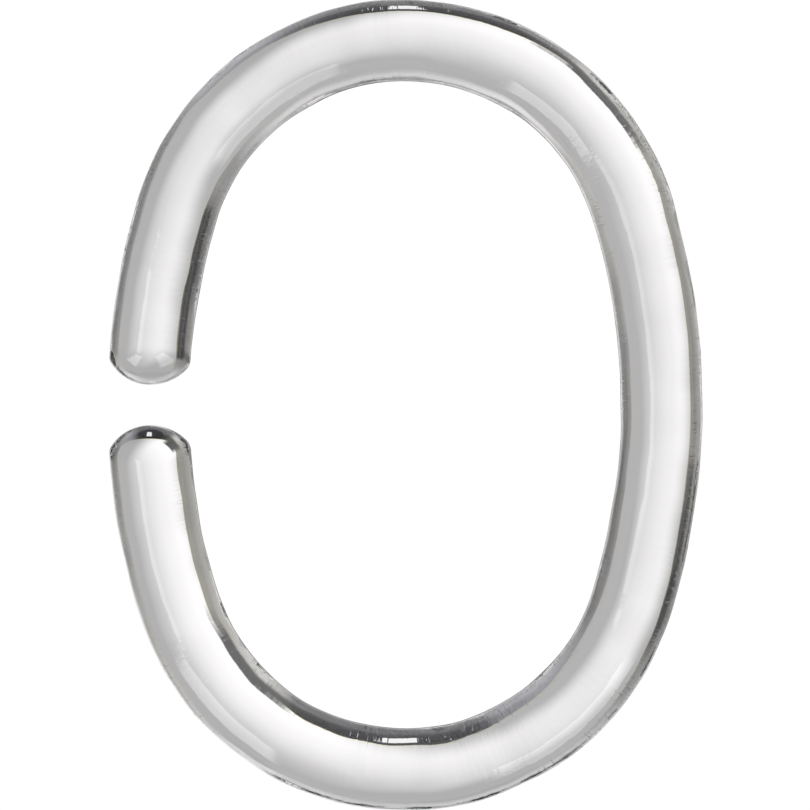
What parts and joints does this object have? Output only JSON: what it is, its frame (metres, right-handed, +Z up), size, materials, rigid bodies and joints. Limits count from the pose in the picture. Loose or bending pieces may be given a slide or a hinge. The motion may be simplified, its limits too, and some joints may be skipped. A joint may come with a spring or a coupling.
{
  "type": "shower curtain ring",
  "caption": "Open oval ring of clear round plastic bar with domed tips, hung on a shower rod to carry a curtain eyelet.",
  "frame": {"origin": "inside of the top bend, on the bar's surface, where the ring rests on the rod", "axes": "+Z up as the ring hangs, along its long axis; +Y along the rod, across the bar; -X towards the gap between the tips"},
  "size_m": [0.0439, 0.006, 0.06],
  "materials": {
    "clear_plastic": "clear, colourless and glossy"
  },
  "bodies": {
    "upper_arm": {"upper_arm": "clear_plastic"},
    "lower_arm": {"lower_arm": "clear_plastic"}
  },
  "joints": [
    {"name": "spread", "type": "hinge", "parent": "upper_arm", "child": "lower_arm", "pos_m": [0.019, 0, -0.024], "axis": [0, -1, 0], "range_deg": [-4, 12], "stiffness_Nm_per_rad": 2.5}
  ]
}
